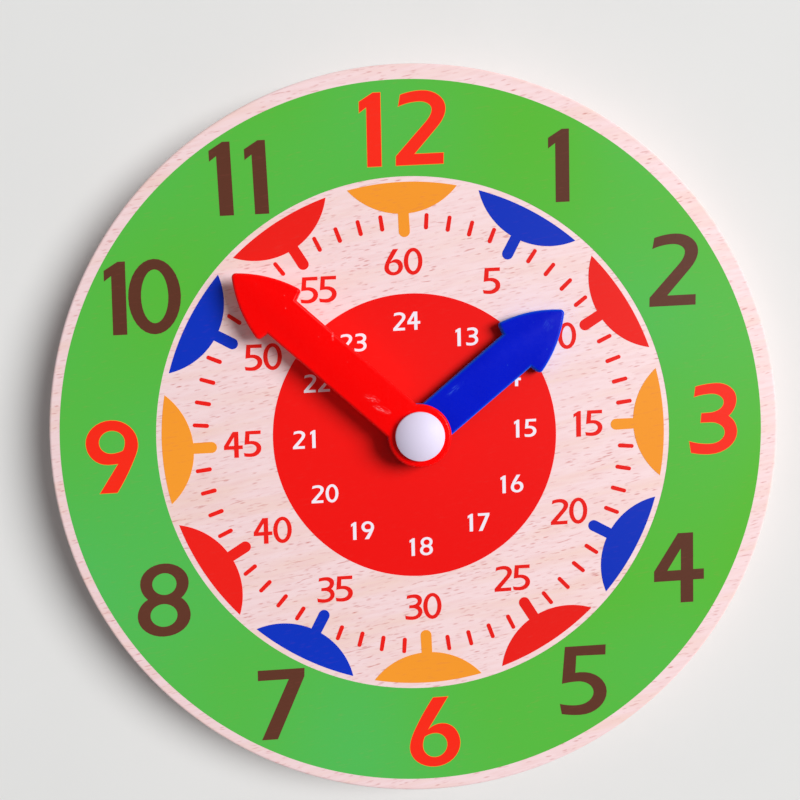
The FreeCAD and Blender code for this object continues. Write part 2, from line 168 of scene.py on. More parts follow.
def round_rim(piece, radius, level, width, segments, across=0.0, up=0.0):
    """Ease the sharp rim of a given radius at a level."""
    open_with_edges(piece, on_circle(radius, level, across, up))
    bpy.ops.mesh.bevel(offset=width, segments=segments, profile=0.5, affect="EDGES")
    close_edit()


def smooth(piece, angle=30.0):
    make_active(piece)
    bpy.ops.object.shade_smooth_by_angle(angle=math.radians(angle))


def combine(piece, other, operation):
    """Join, cross or cut a piece with another, which is used up."""
    make_active(piece)
    change = piece.modifiers.new("combine", "BOOLEAN")
    change.operation = operation
    change.solver = "EXACT"
    change.object = other
    bpy.ops.object.modifier_apply(modifier="combine")
    bpy.data.objects.remove(other)


def cut_with(piece, cutter):
    combine(piece, cutter, "DIFFERENCE")


def finished(piece, material, slot, body, *nodes):
    """Give a piece its material, the body that it rides and the nodes that it stands for; the slot is not
    used.
    """
    piece.data.materials.clear()
    piece.data.materials.append(material)
    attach(piece, body)
    if nodes:
        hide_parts(*nodes)


class Finish:
    """A node material under construction: a principled shader with its own nodes.

    The plain roughness is for a viewer that reads no nodes; most finishes vary it by nodes.
    """

    def __init__(self, name, roughness, specular):
        self.material = bpy.data.materials.new(name)
        self.material.use_nodes = True
        self.tree = self.material.node_tree
        self.shader = self.tree.nodes["Principled BSDF"]
        self.shader.inputs["Roughness"].default_value = roughness
        self.shader.inputs["Specular IOR Level"].default_value = specular
        self.place = self.tree.nodes.new("ShaderNodeTexCoord").outputs["Object"]

    def stretched(self, grain, turn=0.0, middle=(0.0, 0.0)):
        """Object coordinates from a middle, turned, and divided by a grain's size in millimetres."""
        mapping = self.tree.nodes.new("ShaderNodeMapping")
        mapping.vector_type = "TEXTURE"
        mapping.inputs["Location"].default_value = (middle[0] * mm, middle[1] * mm, 0.0)
        mapping.inputs["Rotation"].default_value = (0, 0, math.radians(turn))
        mapping.inputs["Scale"].default_value = [size * mm for size in grain]
        self.tree.links.new(self.place, mapping.inputs["Vector"])
        return mapping.outputs["Vector"]

    def noise(self, grain, detail=2.0, turn=0.0):
        """Soft clouds of a size in millimetres each way."""
        node = self.tree.nodes.new("ShaderNodeTexNoise")
        node.inputs["Scale"].default_value = 1.0
        node.inputs["Detail"].default_value = detail
        self.tree.links.new(self.stretched(grain, turn), node.inputs["Vector"])
        return node.outputs["Fac"]

    def cells(self, grain, turn=0.0):
        """Scattered cells: how far a point is from its cell's middle, and a value of the cell's own."""
        node = self.tree.nodes.new("ShaderNodeTexVoronoi")
        node.voronoi_dimensions = "2D"
        node.inputs["Scale"].default_value = 1.0
        self.tree.links.new(self.stretched(grain, turn), node.inputs["Vector"])
        return node.outputs["Distance"], node.outputs["Color"]

    def ramp(self, value, low, high, start=0.0, end=1.0):
        """Turn one range of a value into another, held at both ends."""
        node = self.tree.nodes.new("ShaderNodeMapRange")
        node.inputs["From Min"].default_value = low
        node.inputs["From Max"].default_value = high
        node.inputs["To Min"].default_value = start
        node.inputs["To Max"].default_value = end
        self.tree.links.new(value, node.inputs["Value"])
        return node.outputs["Result"]

    def spot(self, middle, length, width, turn=0.0, full=0.2):
        """One soft oval: 1 inside, up to the part of its reach called full, and 0 outside it."""
        node = self.tree.nodes.new("ShaderNodeVectorMath")
        node.operation = "LENGTH"
        self.tree.links.new(self.stretched((length / 2, width / 2, 1000), turn, middle), node.inputs[0])
        return self.ramp(node.outputs["Value"], 1.0, full)

    def height(self):
        parts = self.tree.nodes.new("ShaderNodeSeparateXYZ")
        self.tree.links.new(self.place, parts.inputs[0])
        return parts.outputs["Z"]

    def worked_out(self, operation, first, second):
        node = self.tree.nodes.new("ShaderNodeMath")
        node.operation = operation
        self.tree.links.new(first, node.inputs[0])
        self.tree.links.new(second, node.inputs[1])
        return node.outputs[0]

    def product(self, first, second):
        return self.worked_out("MULTIPLY", first, second)

    def mixed(self, amount, first, second):
        """Blend two colours, each a plain colour or one that nodes have made."""
        node = self.tree.nodes.new("ShaderNodeMix")
        node.data_type = "RGBA"
        self.tree.links.new(amount, node.inputs["Factor"])
        for socket, colour in ((node.inputs[6], first), (node.inputs[7], second)):
            if isinstance(colour, tuple):
                socket.default_value = (*colour, 1.0)
            else:
                self.tree.links.new(colour, socket)
        return node.outputs[2]

    def colour(self, value):
        self.tree.links.new(value, self.shader.inputs["Base Color"])

    def roughness(self, value):
        self.tree.links.new(value, self.shader.inputs["Roughness"])

    def bump(self, value, depth):
        """Raise the surface by a value; the depth is in millimetres."""
        node = self.tree.nodes.new("ShaderNodeBump")
        node.inputs["Strength"].default_value = 1.0
        node.inputs["Distance"].default_value = depth * mm
        self.tree.links.new(value, node.inputs["Height"])
        self.tree.links.new(node.outputs["Normal"], self.shader.inputs["Normal"])


beech_pale = (0.950, 0.720, 0.735)
beech_warm = (0.900, 0.610, 0.500)
beech_rosy = (0.890, 0.600, 0.600)
beech_fleck = (0.560, 0.120, 0.100)
grain_turn = 9.0


def fleck_mask(finish):
    """Short dashes along the grain, of all strengths, with a few longer rays, and fewer in places."""
    distance, own_value = finish.cells((2.7, 0.66, 1.0), grain_turn)
    broken = finish.ramp(finish.noise((0.9, 0.2, 0.9), 0.0, grain_turn), 0.3, 0.6, 0.25, 1.0)
    dashes = finish.product(finish.ramp(distance, 0.3, 0.1), finish.ramp(own_value, 0.5, 0.85))
    rays = finish.ramp(finish.noise((2.0, 0.34, 0.9), 0.3, grain_turn), 0.68, 0.8, 0.0, 0.8)
    patch = finish.ramp(finish.noise((12, 5, 6), 2.0, grain_turn), 0.35, 0.6, 0.5, 1.0)
    streaks = finish.worked_out("MAXIMUM", finish.product(dashes, broken), rays)
    return finish.product(streaks, patch)


def beech_finish():
    """Pale beech: warm bands and faint lines along the grain, reddish flecks, rings on the edge."""
    finish = Finish("beech", roughness=0.45, specular=0.15)
    bands = finish.ramp(finish.noise((30, 3.2, 3.2), 4.0, grain_turn), 0.47, 0.72)
    lines = finish.ramp(finish.noise((5, 0.7, 0.7), 4.0, grain_turn), 0.42, 0.72, 0.0, 0.6)
    across_board = 2 * board_radius / mm
    flat = finish.spot((0, 0), across_board, across_board, full=0.985)
    flecks = finish.product(fleck_mask(finish), finish.ramp(flat, 0.0, 1.0, 0.25, 1.0))
    rings = finish.product(finish.ramp(finish.noise((30, 30, 0.5), 3.0), 0.45, 0.65),
                           finish.ramp(flat, 0.0, 1.0, 0.45, 0.0))
    wood = finish.mixed(finish.ramp(bands, 0.0, 1.0, 0.0, 0.6), beech_pale, beech_warm)
    wood = finish.mixed(rings, finish.mixed(lines, wood, beech_rosy), beech_warm)
    finish.colour(finish.mixed(finish.ramp(flecks, 0.0, 1.0, 0.0, 0.7), wood, beech_fleck))
    finish.roughness(finish.ramp(lines, 0.0, 0.6, 0.4, 0.52))
    finish.bump(finish.ramp(flecks, 0.0, 1.0, 1.0, 0.0), 0.003)
    return finish.material


board = disc("board", board_radius, board_low.z, dial_face, 256)
recess(board, board_low.z, board_radius - rebate_radius, cover_high.z)
recess(board, cover_high.z, rebate_radius - pocket_radius, web_back)
recess(board, web_back, pocket_radius - bush_hole_radius, half_web)
draw_rim(board, dial_face, board_radius - bush_hole_radius)
open_through(board, bush_hole_radius, half_web)
round_rim(board, board_radius, dial_face, front_rounding, 6)
round_rim(board, board_radius, board_low.z, back_rounding, 4)
round_rim(board, rebate_radius, board_low.z, rebate_rounding, 2)
for number in range(1, 5):
    screw_low, screw_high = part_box(f"cover_screw_{number}")
    middle = (screw_low + screw_high) / 2
    pilot = disc("pilot", shank_radius, cover_high.z - cut_overlap, screw_high.z, 24, middle.x, middle.y)
    cut_with(board, pilot)
stud_low, stud_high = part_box("gear_stud")
stud_up = (stud_low.y + stud_high.y) / 2
cut_with(board, disc("stud_hole", stud_radius, web_back - cut_overlap, stud_high.z, 24, 0.0, stud_up))
smooth(board)
finished(board, beech_finish(), "beech", "clock_body", "clock_board")


# Flat prints of the dial: screen-printed inks, each a thin layer on the lacquered wood.
# They are printed as one sheet, about a centre that stands a little off the hand axis.
# The green hour ring and the red disc are the two large ones.

dial_across = -0.65 * mm
dial_up = -0.33 * mm
ink_foot = dial_face - 0.01 * mm
ink_top = dial_face + 0.03 * mm
ring_outer = 69.7 * mm
ring_inner = 51.0 * mm
disc_radius = 28.15 * mm


def ink_finish(name, pale, deep, show_through):
    """Printed ink: a little thicker in some places, and the wood's flecks just show through."""
    finish = Finish(name, roughness=0.42, specular=0.1)
    ink = finish.mixed(finish.ramp(finish.noise((55, 55, 55), 1.0), 0.3, 0.7), pale, deep)
    pores = finish.ramp(finish.noise((0.5, 0.25, 0.25), 3.0, grain_turn), 0.5, 0.8, 0.0, 0.25)
    ink = finish.mixed(pores, ink, deep)
    grain = finish.ramp(fleck_mask(finish), 0.0, 1.0, 0.0, show_through)
    finish.colour(finish.mixed(grain, ink, beech_fleck))
    finish.roughness(finish.ramp(finish.noise((0.5, 0.5, 0.5)), 0.3, 0.7, 0.38, 0.5))
    finish.bump(finish.noise((9, 0.5, 0.5), 2.0, grain_turn), 0.004)
    return finish.material


green_ink = ink_finish("green_ink", (0.084, 0.505, 0.098), (0.098, 0.490, 0.036), 0.08)
red_ink = ink_finish("red_ink", (0.905, 0.007, 0.005), (0.870, 0.005, 0.004), 0.05)
ring_print = disc("ring_print", ring_outer, ink_foot, ink_top, 256, dial_across, dial_up)
for level in (ink_top, ink_foot):
    draw_rim(ring_print, level, ring_outer - ring_inner)
open_through(ring_print, ring_inner, ink_foot, dial_across, dial_up)
smooth(ring_print)
finished(ring_print, green_ink, "print_green", "clock_body")
disc_print = disc("disc_print", disc_radius, ink_foot, ink_top, 192, dial_across, dial_up)
smooth(disc_print)
finished(disc_print, red_ink, "print_red", "clock_body")


# Twelve five-minute markers, orange, blue and red in turn: a bowl whose rim follows the
# green ring, with a round-ended stem that points to the centre. Each bowl is the part
# that two crossed discs share, so both its edges are true arcs.

bowl_rim_radius = 49.93 * mm
bowl_radius = 14.15 * mm
bowl_bottom = 43.75 * mm
stem_width = 2.2 * mm
stem_end = 39.2 * mm
stem_overlap = 1.5 * mm


def capsule(name, width, near, far, low, high, segments):
    """A round-ended bar along +Y from near to far: a disc with its two halves drawn apart."""
    piece = disc(name, width / 2, low, high, segments)
    for corner in piece.data.vertices:
        corner.co.y += far - width / 2 if corner.co.y > 0 else near + width / 2
    return piece


def turned_copy(piece, name, angle):
    """A copy with its own mesh, turned clockwise about the print's centre."""
    mesh = piece.data.copy()
    place = Matrix.Translation((dial_across, dial_up, 0))
    mesh.transform(place @ Matrix.Rotation(math.radians(-angle), 4, "Z"))
    copy = bpy.data.objects.new(name, mesh)
    bpy.context.scene.collection.objects.link(copy)
    return copy


def joined(pieces, name):
    """Join several pieces of one print into one."""
    deselect()
    for piece in pieces:
        piece.select_set(True)
    bpy.context.view_layer.objects.active = pieces[0]
    bpy.ops.object.join()
    pieces[0].name = name
    return pieces[0]


orange_ink = ink_finish("orange_ink", (0.965, 0.345, 0.030), (0.930, 0.315, 0.024), 0.2)
blue_ink = ink_finish("blue_ink", (0.004, 0.036, 0.560), (0.003, 0.030, 0.490), 0.03)
scarlet_ink = ink_finish("scarlet_ink", (0.900, 0.015, 0.010), (0.820, 0.012, 0.008), 0.08)
marker = disc("marker", bowl_rim_radius, ink_foot, ink_top, 512)
bowl_middle = bowl_bottom + bowl_radius
bowl = disc("bowl", bowl_radius, ink_foot - mm, ink_top + mm, 128, 0.0, bowl_middle)
combine(marker, bowl, "INTERSECT")
stem = capsule("stem", stem_width, stem_end, bowl_bottom + stem_overlap, ink_foot, ink_top, 24)
combine(marker, stem, "UNION")
inks = (("orange", orange_ink), ("blue", blue_ink), ("red", scarlet_ink))
for order, (colour, ink) in enumerate(inks):
    copies = [turned_copy(marker, f"marker_{colour}_{hour}", 30 * hour) for hour in range(order, 12, 3)]
    markers = joined(copies, f"markers_{colour}")
    finished(markers, ink, f"print_{colour}", "clock_body")
bpy.data.objects.remove(marker)


# Minute ticks: forty-eight short round-ended red strokes, one for each minute that has
# no marker, all in one print.

tick_width = 0.84 * mm
tick_near = 40.7 * mm
tick_far = 43.9 * mm

tick = capsule("tick", tick_width, tick_near, tick_far, ink_foot, ink_top, 16)
copies = [turned_copy(tick, f"tick_{minute}", 6 * minute) for minute in range(60) if minute % 5]
ticks = joined(copies, "minute_ticks")
bpy.data.objects.remove(tick)
finished(ticks, scarlet_ink, "print_red", "clock_body")


# Numerals: plain figures of one design, drawn as outlines, nearly upright. The hours are
# bold, brown with red quarters over the green; the minutes are lighter, in red on the
# wood; the afternoon hours are small and white on the red disc.

# Each figure has its width and its outlines, in figure heights. An outline point is
# across and up, and on a curve also the way that the outline runs there, in degrees.
# Every outline runs clockwise, those of holes too.
FIGURES = {
    "0": (0.72, [
        [(0.36, 1.015, 0), (0.72, 0.5, 270), (0.36, -0.015, 180), (0, 0.5, 90)],
        [(0.365, 0.868, 0), (0.545, 0.5, 270), (0.36, 0.14, 180), (0.178, 0.5, 90)],
    ]),
    "1": (0.30, [
        [(0.099, 0), (0.099, 0.805), (0, 0.735), (0, 0.885), (0.192, 1), (0.296, 1), (0.296, 0)],
    ]),
    "2": (0.695, [
        [(0, 0), (0.003, 0.13), (0.40, 0.555, 47), (0.505, 0.745, 90), (0.335, 0.855, 180),
         (0.045, 0.798), (0.075, 0.955), (0.37, 1.003, 0), (0.695, 0.755, 270), (0.575, 0.50, 228),
         (0.26, 0.15), (0.66, 0.15), (0.657, 0)],
    ]),
    "3": (0.69, [
        [(0.03, 0.035), (0.005, 0.20), (0.31, 0.147, 0), (0.515, 0.30, 90), (0.30, 0.452, 180),
         (0.167, 0.453), (0.18, 0.585), (0.29, 0.588, 0), (0.50, 0.725, 90), (0.32, 0.853, 180),
         (0.075, 0.82), (0.095, 0.965), (0.39, 1, 0), (0.68, 0.76, 270), (0.57, 0.528),
         (0.69, 0.30, 270), (0.30, 0, 180)],
    ]),
    "4": (0.72, [
        [(0, 0.317), (0, 0.466), (0.346, 1), (0.566, 1), (0.566, 0.474), (0.72, 0.474), (0.72, 0.32),
         (0.566, 0.32), (0.566, 0), (0.38, 0), (0.38, 0.317)],
        [(0.195, 0.471), (0.385, 0.771), (0.385, 0.471)],
    ]),
    "5": (0.68, [
        [(0.028, 0.03), (0, 0.184), (0.25, 0.148, 0), (0.487, 0.322, 90), (0.26, 0.487, 180),
         (0.034, 0.467), (0.082, 1), (0.67, 1), (0.665, 0.85), (0.247, 0.858), (0.232, 0.618),
         (0.31, 0.622, 0), (0.68, 0.32, 270), (0.30, 0, 180)],
    ]),
    "6": (0.717, [
        [(0.34, 1), (0.553, 1), (0.265, 0.545), (0.46, 0.62, 0), (0.717, 0.325, 270), (0.355, 0, 180),
         (0, 0.29, 90), (0.10, 0.60, 63)],
        [(0.185, 0.31, 90), (0.213, 0.44), (0.36, 0.485, 0), (0.533, 0.315, 270), (0.36, 0.137, 180)],
    ]),
    "7": (0.66, [
        [(0, 0.85), (0, 1), (0.66, 1), (0.655, 0.88), (0.26, 0), (0.034, 0), (0.43, 0.85)],
    ]),
    "8": (0.736, [
        [(0.388, 1.02, 0), (0.722, 0.745, 270), (0.615, 0.524), (0.736, 0.28, 270), (0.36, -0.012, 180),
         (0, 0.28, 90), (0.147, 0.524), (0.048, 0.74, 90)],
        [(0.388, 0.88, 0), (0.55, 0.73, 270), (0.388, 0.578, 180), (0.218, 0.73, 90)],
        [(0.365, 0.447, 0), (0.55, 0.29, 270), (0.365, 0.13, 180), (0.18, 0.29, 90)],
    ]),
    "9": (0.713, [
        [(0.35, 1.005, 0), (0.713, 0.66, 270), (0.64, 0.42, 246), (0.41, 0), (0.17, 0), (0.433, 0.40),
         (0.30, 0.393, 180), (0, 0.70, 90)],
        [(0.355, 0.862, 0), (0.535, 0.70, 270), (0.505, 0.58), (0.345, 0.545, 180), (0.18, 0.70, 90)],
    ]),
}


def add_outline(curve, points, height, shift):
    """Draw one closed outline: it runs straight between two points that give no direction.

    Where only one of the two gives a direction, the other gets the one that makes a true arc.
    """
    spline = curve.splines.new("BEZIER")
    spline.bezier_points.add(len(points) - 1)
    spline.use_cyclic_u = True
    knots = spline.bezier_points
    for knot, point in zip(knots, points):
        knot.handle_left_type = "FREE"
        knot.handle_right_type = "FREE"
        knot.co = (shift + point[0] * height, point[1] * height, 0)
    for index, point in enumerate(points):
        follow = (index + 1) % len(points)
        start, end = knots[index], knots[follow]
        chord = end.co - start.co
        lie = math.atan2(chord.y, chord.x)
        leave = math.radians(point[2]) if len(point) > 2 else None
        arrive = math.radians(points[follow][2]) if len(points[follow]) > 2 else None
        if leave is None:
            leave = lie if arrive is None else 2 * lie - arrive
        if arrive is None:
            arrive = 2 * lie - leave
        # A handle of this reach makes a circular arc of the same bend.
        bend = abs(math.remainder(arrive - leave, 2 * math.pi))
        reach = 1 / (3 * math.cos(bend / 4) ** 2 * math.cos(bend / 2))
        out = Vector((math.cos(leave), math.sin(leave), 0))
        into = Vector((math.cos(arrive), math.sin(arrive), 0))
        start.handle_right = start.co + out * reach * abs(chord.dot(out))
        end.handle_left = end.co - into * reach * abs(chord.dot(into))


def figure_print(text, height, place, levels, gap, lean, lighter, rim=0.0, fineness=8):
    """Print a number, centred at a place, as a thin layer of ink between two levels.

    It is drawn in by lighter, in figure heights, and let out again by a rim, in metres.
    """
    low, high = levels
    curve = bpy.data.curves.new(f"figure_{text}", "CURVE")
    curve.dimensions = "2D"
    curve.fill_mode = "BOTH"
    curve.resolution_u = fineness
    curve.extrude = (high - low) / 2
    curve.offset = rim - lighter * height
    drawn = height / (1 - 2 * lighter)
    pen = 0.0
    for letter in text:
        width, outlines = FIGURES[letter]
        for outline in outlines:
            add_outline(curve, outline, drawn, pen)
        pen += (width + gap) * drawn
    figure = bpy.data.objects.new(f"figure_{text}", curve)
    bpy.context.scene.collection.objects.link(figure)
    make_active(figure)
    bpy.ops.object.convert(target="MESH")
    figure = bpy.context.object
    centred = Matrix.Translation(((gap * drawn - pen) / 2, -drawn / 2, 0))
    put_there = Matrix.Translation((*place, (low + high) / 2))
    figure.data.transform(put_there @ Matrix.Shear("XZ", 4, (lean, 0)) @ centred)
    return figure


def around_dial(position, count, radius, shift):
    """The place at a radius for a position out of a count, clockwise from the top, with its shift."""
    angle = 2 * math.pi * position / count
    across = dial_across + radius * math.sin(angle) + shift[0] * mm
    return across, dial_up + radius * math.cos(angle) + shift[1] * mm


figure_lean = 0.035
hour_height = 14.2 * mm
hour_radius = 60.2 * mm
hour_gap = 0.0
hour_wide_gaps = {10: 0.02, 11: 0.18, 12: 0.19}
hour_lighter = 0.002
minute_height = 5.15 * mm
minute_radius = 34.4 * mm
minute_gap = 0.02
minute_wide_gaps = {10: 0.15, 15: 0.15}
minute_lighter = 0.006
day_height = 3.55 * mm
day_radius = 22.0 * mm
day_gap = 0.09
day_wide_gap = 0.27
day_lighter = 0.004
over_foot = dial_face + 0.02 * mm
over_top = dial_face + 0.05 * mm
rim_top = over_top - 0.015 * mm
rim_width = 0.08 * mm

# How far each number stands off its even place, across and up, in millimetres to the
# nearest quarter: the real print isn't evenly spaced.
hour_shifts = {1: (1.0, -0.5), 2: (1.0, 0.0), 3: (-0.25, 0.0), 4: (-0.25, 0.25), 5: (1.25, 0.5),
               6: (0.75, 0.0), 7: (0.5, -0.25), 8: (0.5, 0.25), 9: (0.5, -0.75), 10: (0.5, 0.0),
               11: (-1.5, 0.0), 12: (0.75, 0.0)}
minute_shifts = {5: (-0.5, 0.0), 10: (0.25, 1.0), 15: (0.25, 0.5), 20: (0.25, 0.25), 25: (0.75, 0.0),
                 30: (-0.25, 0.0), 35: (-0.5, 0.0), 40: (0.5, 0.0), 45: (0.25, 0.25), 50: (0.75, 0.0),
                 55: (-0.25, 0.0), 60: (-0.5, 0.0)}
day_shifts = {13: (0.25, 0.0), 14: (0.25, -0.5), 15: (0.0, 0.25), 16: (-0.25, 0.25), 17: (0.75, 1.0),
              18: (0.0, -0.25), 19: (-0.5, 0.75), 20: (0.5, 0.5), 21: (0.0, 0.5), 22: (0.25, 0.5),
              23: (-0.25, 0.0), 24: (-0.5, 0.75)}

brown_ink = ink_finish("brown_ink", (0.118, 0.037, 0.021), (0.102, 0.031, 0.017), 0.06)
warm_red_ink = ink_finish("warm_red_ink", (0.985, 0.026, 0.010), (0.950, 0.022, 0.008), 0.06)
white_ink = ink_finish("white_ink", (0.930, 0.870, 0.950), (0.900, 0.840, 0.930), 0.04)

brown_hours = []
red_hours = []
red_rims = []
for hour in range(1, 13):
    place = around_dial(hour, 12, hour_radius, hour_shifts[hour])
    gap = hour_wide_gaps.get(hour, hour_gap)
    lean = 0.0 if hour == 11 else figure_lean
    figure = figure_print(str(hour), hour_height, place, (over_foot, over_top), gap, lean, hour_lighter)
    if hour % 3:
        brown_hours.append(figure)
    else:
        red_hours.append(figure)
        red_rims.append(figure_print(str(hour), hour_height, place, (over_foot, rim_top), gap, lean,
                                     hour_lighter, rim_width))
finished(joined(brown_hours, "hours_brown"), brown_ink, "print_brown", "clock_body")
finished(joined(red_hours, "hours_red"), warm_red_ink, "print_red", "clock_body")
finished(joined(red_rims, "hours_red_rims"), orange_ink, "print_orange", "clock_body")

minute_figures = []
for minute in range(5, 65, 5):
    place = around_dial(minute, 60, minute_radius, minute_shifts[minute])
    gap = minute_wide_gaps.get(minute, minute_gap)
    minute_figures.append(figure_print(str(minute), minute_height, place, (ink_foot, ink_top), gap,
                                       figure_lean, minute_lighter, fineness=6))
finished(joined(minute_figures, "minute_figures"), scarlet_ink, "print_red", "clock_body")

day_figures = []
for hour in range(13, 25):
    place = around_dial(hour, 12, day_radius, day_shifts[hour])
    gap = day_wide_gap if "1" in str(hour) else day_gap
    day_figures.append(figure_print(str(hour), day_height, place, (over_foot, over_top), gap,
                                    figure_lean, day_lighter, fineness=6))
finished(joined(day_figures, "day_figures"), white_ink, "print_white", "clock_body")


# Wheel train behind the dial: moulded wheels, bush, ring and washers of natural acetal,
# a turned steel arbor and stud, and a bowed washer of spring steel. They keep the
# solids of the frame, which are hidden behind the web and the cover.

def moulded_finish(name, pale, deep, roughness, specular, fine=0.3):
    """Plain moulded plastic: a faint cloudiness and a fine, uneven gloss."""
    finish = Finish(name, roughness, specular)
    finish.colour(finish.mixed(finish.ramp(finish.noise((6, 6, 6), 3.0), 0.3, 0.7), pale, deep))
    gloss = finish.ramp(finish.noise((0.8, 0.8, 0.8)), 0.3, 0.7, roughness - 0.04, roughness + 0.06)
    finish.roughness(gloss)
    finish.bump(finish.noise((fine, fine, fine)), 0.003)
    return finish.material


def steel_finish(name, pale, deep, roughness):
    """Turned or rolled metal with fine marks round it."""
    finish = Finish(name, roughness, specular=0.5)
    finish.shader.inputs["Metallic"].default_value = 1.0
    finish.colour(finish.mixed(finish.noise((2, 2, 0.1), 3.0), pale, deep))
    gloss = finish.ramp(finish.noise((1.5, 1.5, 0.06)), 0.3, 0.7, roughness - 0.08, roughness + 0.08)
    finish.roughness(gloss)
    finish.bump(finish.noise((1.5, 1.5, 0.06)), 0.002)
    return finish.material


def dress(material, *nodes):
    """Give solids of the frame, which stay as they are, a material."""
    for node in nodes:
        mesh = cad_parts[node].data
        mesh.materials.clear()
        mesh.materials.append(material)


acetal = moulded_finish("acetal", (0.86, 0.84, 0.74), (0.80, 0.78, 0.68), 0.35, 0.4)
steel = steel_finish("steel", (0.62, 0.62, 0.64), (0.50, 0.50, 0.52), 0.28)
spring_steel = steel_finish("spring_steel", (0.30, 0.33, 0.42), (0.22, 0.25, 0.34), 0.32)
dress(acetal, "centre_bush", "bush_ring", "stud_washer", "compound_gear", "hour_wheel",
      "thrust_washer", "minute_pinion")
dress(steel, "gear_stud", "minute_arbor")
dress(spring_steel, "friction_spring")


# Back cover: an off-white moulding with a fine spark-eroded texture, let into the back
# so that nothing stands proud of the wood. Four counterbores take the screw heads.

cover_radius = cover_high.x
cover_rounding = 0.4 * mm
head_radius = 2.2 * mm
head_height = 1.1 * mm
seat_radius = head_radius + 0.08 * mm
seat_level = cover_low.z + head_height
socket_floor = cover_low.z + 0.6 * mm
arbor_socket_radius = 1.55 * mm


def cover_finish():
    finish = Finish("cover_plastic", roughness=0.55, specular=0.3)
    finish.colour(finish.mixed(finish.ramp(finish.noise((9, 9, 9), 3.0), 0.3, 0.7),
                               (0.80, 0.78, 0.72), (0.74, 0.72, 0.66)))
    finish.bump(finish.noise((0.35, 0.35, 0.35), 3.0), 0.02)
    finish.roughness(finish.ramp(finish.noise((0.5, 0.5, 0.5)), 0.3, 0.7, 0.5, 0.62))
    return finish.material


cover = disc("cover", cover_radius, cover_low.z, cover_high.z, 192)
round_rim(cover, cover_radius, cover_low.z, cover_rounding, 4)
for number in range(1, 5):
    screw_low, screw_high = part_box(f"cover_screw_{number}")
    middle = (screw_low + screw_high) / 2
    seat = disc("seat", seat_radius, cover_low.z - mm, seat_level, 48, middle.x, middle.y)
    cut_with(cover, seat)
    bore = disc("bore", shank_radius, cover_low.z - mm, cover_high.z + mm, 32, middle.x, middle.y)
    cut_with(cover, bore)
cut_with(cover, disc("stud_socket", stud_radius, socket_floor, cover_high.z + mm, 24, 0.0, stud_up))
cut_with(cover, disc("arbor_socket", arbor_socket_radius, socket_floor, cover_high.z + mm, 32))
smooth(cover)
finished(cover, cover_finish(), "cover_plastic", "clock_body", "back_cover")


# Cover screws: four small cheese-head wood screws of plated steel with a cross recess,
# driven through the cover into the beech, each to its own turn.

head_rounding = 0.3 * mm
cross_reach = 1.35 * mm
cross_width = 0.5 * mm
cross_depth = 0.75 * mm
cross_turn = 20.0
tip_taper = 0.9 * mm

plated_steel = steel_finish("plated_steel", (0.66, 0.66, 0.68), (0.54, 0.54, 0.57), 0.25)
for number in range(1, 5):
    node = f"cover_screw_{number}"
    screw_low, screw_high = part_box(node)
    middle = (screw_low + screw_high) / 2
    head_top = screw_low.z + head_height
    screw = disc(f"screw_{number}", head_radius, screw_low.z, head_top, 64, middle.x, middle.y)
    recess(screw, head_top, head_radius - shank_radius, screw_high.z)
    round_rim(screw, shank_radius, screw_high.z, tip_taper, 1, middle.x, middle.y)
    round_rim(screw, head_radius, screw_low.z, head_rounding, 4, middle.x, middle.y)
    for turn in (cross_turn * number, cross_turn * number + 90.0):
        deselect()
        bpy.ops.mesh.primitive_cube_add(size=1.0, location=(middle.x, middle.y, screw_low.z))
        blade = bpy.context.object
        blade.scale = (2 * cross_reach, cross_width, 2 * cross_depth)
        blade.rotation_euler = (0, 0, math.radians(turn))
        bpy.ops.object.transform_apply(location=True, rotation=True, scale=True)
        cut_with(screw, blade)
    smooth(screw)
    finished(screw, plated_steel, "steel", "clock_body", node)


# Hands: a short blue and a long red one, moulded in one piece each with a round hub, a
# straight shaft and an arrowhead. The front edges are well rounded, the back edges less,
# and the keyed hole stays sharp.

hub_reach = 5.0 * mm
front_edge_radius = 0.6 * mm
back_edge_radius = 0.3 * mm


def eased_hand(node, name):
    """A hand with the frame's outline, its triangles merged into whole faces, its edges rounded."""
    low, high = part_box(node)
    hand = bpy.data.objects.new(name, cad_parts[node].data.copy())
    bpy.context.scene.collection.objects.link(hand)
    open_with_faces(hand, lambda face: True)
    bpy.ops.mesh.remove_doubles(threshold=same_level)
    bpy.ops.mesh.dissolve_limited(angle_limit=math.radians(2))
    close_edit()
    for level, radius, segments in ((high.z, front_edge_radius, 6), (low.z, back_edge_radius, 2)):
        open_with_edges(hand, lambda place: abs(place.z - level) < same_level
                        and math.hypot(place.x, place.y) > hub_reach)
        bpy.ops.mesh.bevel(offset=radius, segments=segments, profile=0.5, affect="EDGES")
        close_edit()
    smooth(hand, 25.0)
    return hand


